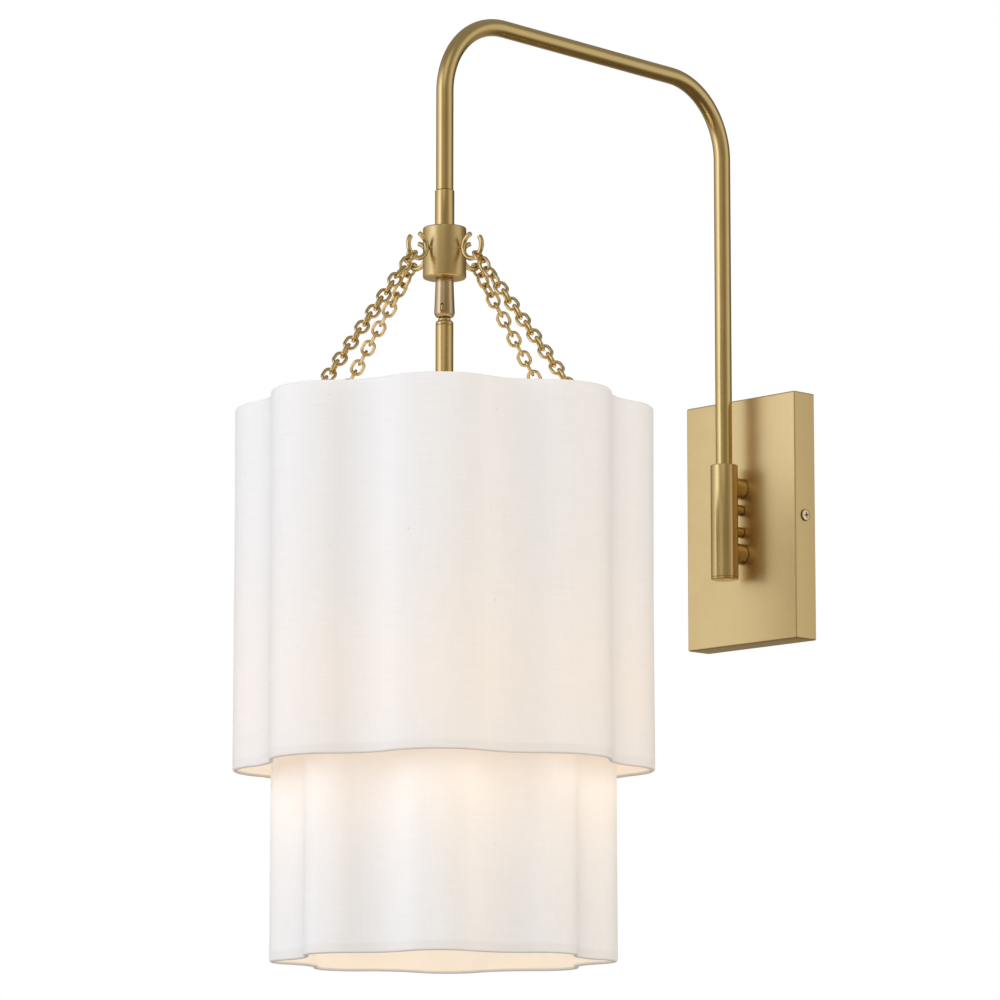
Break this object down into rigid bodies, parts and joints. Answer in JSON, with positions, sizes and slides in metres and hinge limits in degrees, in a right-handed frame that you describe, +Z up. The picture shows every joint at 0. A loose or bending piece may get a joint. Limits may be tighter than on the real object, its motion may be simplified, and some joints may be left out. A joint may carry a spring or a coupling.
{
  "type": "swing arm wall sconce",
  "caption": "Brass wall sconce: an electrical box cover carries a barrel in which a bent tube arm swings, and a scalloped two-tier fabric shade hangs from the arm on chains.",
  "frame": {"origin": "centre of the wall plane behind the back cover, on the back face of the mounting bracket", "axes": "+X to the right for someone facing the wall, +Y into the wall, +Z up"},
  "size_m": [0.3048, 0.4874, 0.7031],
  "materials": {
    "aged_brass": "aged brass with a satin brushed face and thin lacquer, a little darker in its corners",
    "polished_brass": "brighter brass with rubbed highlights",
    "zinc_steel": "zinc plated, dull",
    "green_steel": "green screw for the ground wire",
    "nylon": "natural nylon",
    "porcelain": "glazed white, standing for porcelain",
    "bulb_cap": "drawn sheet",
    "bulb_glass": "frosted",
    "shade_fabric": "off-white slubbed silk over a cream lining, with rolled edges",
    "shade_wire": "cream painted wire"
  },
  "bodies": {
    "wall_mount": {"back_cover": "aged_brass", "mounting_bracket": "zinc_steel", "ground_screw": "green_steel", "side_screw_right": "polished_brass", "side_screw_left": "polished_brass", "post_screw_upper": "zinc_steel", "post_screw_lower": "zinc_steel", "large_post_upper": "aged_brass", "large_post_lower": "aged_brass", "small_post_upper": "aged_brass", "small_post_lower": "aged_brass", "pivot_barrel": "aged_brass", "barrel_end_cap": "aged_brass", "upper_bushing": "nylon", "lower_bushing": "nylon", "friction_washer": "nylon"},
    "arm": {"arm_tube": "aged_brass", "retaining_collar": "zinc_steel", "arm_coupling": "aged_brass", "threaded_nipple": "zinc_steel", "chain_hub": "aged_brass", "hook_front": "polished_brass", "hook_right": "polished_brass", "hook_back": "polished_brass", "hook_left": "polished_brass", "swivel_cup": "aged_brass"},
    "swivel": {"swivel_ball": "aged_brass"},
    "stem": {"stem_neck": "aged_brass", "stem_tube": "aged_brass", "socket_cap": "aged_brass", "socket_body": "porcelain", "socket_screw_shell": "polished_brass", "socket_contact": "polished_brass", "bulb_base": "bulb_cap", "bulb_contact": "bulb_cap", "bulb_glass": "bulb_glass"},
    "shade": {"outer_shade_fabric": "shade_fabric", "outer_top_ring": "shade_wire", "outer_bottom_ring": "shade_wire", "inner_shade_fabric": "shade_fabric", "inner_top_ring": "shade_wire", "inner_bottom_ring": "shade_wire", "strut_front": "shade_wire", "strut_right": "shade_wire", "strut_back": "shade_wire", "strut_left": "shade_wire"},
    "chain_front": {"chain_front": "polished_brass"},
    "chain_right": {"chain_right": "polished_brass"},
    "chain_back": {"chain_back": "polished_brass"},
    "chain_left": {"chain_left": "polished_brass"}
  },
  "joints": [
    {"name": "arm_swing", "type": "hinge", "parent": "wall_mount", "child": "arm", "pos_m": [0, -0.04, 0], "axis": [0, 0, 1], "range_deg": [-65, 65]},
    {"name": "stem_tilt_in_out", "type": "hinge", "parent": "arm", "child": "swivel", "pos_m": [0, -0.335, 0.1225], "axis": [1, 0, 0], "range_deg": [-7, 7]},
    {"name": "stem_tilt_sideways", "type": "hinge", "parent": "swivel", "child": "stem", "pos_m": [0, -0.335, 0.1225], "axis": [0, 1, 0], "range_deg": [-7, 7]},
    {"name": "shade_sway", "type": "hinge", "parent": "arm", "child": "shade", "pos_m": [0, -0.335, 0.1989], "axis": [0, 1, 0], "range_deg": [-4.5, 4.5]},
    {"name": "chain_front_sway", "type": "hinge", "parent": "arm", "child": "chain_front", "pos_m": [0.00135, -0.36856, 0.1588], "axis": [0, 1, 0], "range_deg": [-6.3, 6.3]},
    {"name": "chain_right_sway", "type": "hinge", "parent": "arm", "child": "chain_right", "pos_m": [0.03356, -0.33365, 0.1588], "axis": [0, 1, 0], "range_deg": [-6.3, 6.3]},
    {"name": "chain_back_sway", "type": "hinge", "parent": "arm", "child": "chain_back", "pos_m": [-0.00135, -0.30144, 0.1588], "axis": [0, 1, 0], "range_deg": [-6.3, 6.3]},
    {"name": "chain_left_sway", "type": "hinge", "parent": "arm", "child": "chain_left", "pos_m": [-0.03356, -0.33635, 0.1588], "axis": [0, 1, 0], "range_deg": [-6.3, 6.3]}
  ],
  "couplings": [
    {"joint": "chain_front_sway", "follows": "shade_sway", "ratio": 1.368},
    {"joint": "chain_right_sway", "follows": "shade_sway", "ratio": 1.368},
    {"joint": "chain_back_sway", "follows": "shade_sway", "ratio": 1.368},
    {"joint": "chain_left_sway", "follows": "shade_sway", "ratio": 1.368}
  ]
}
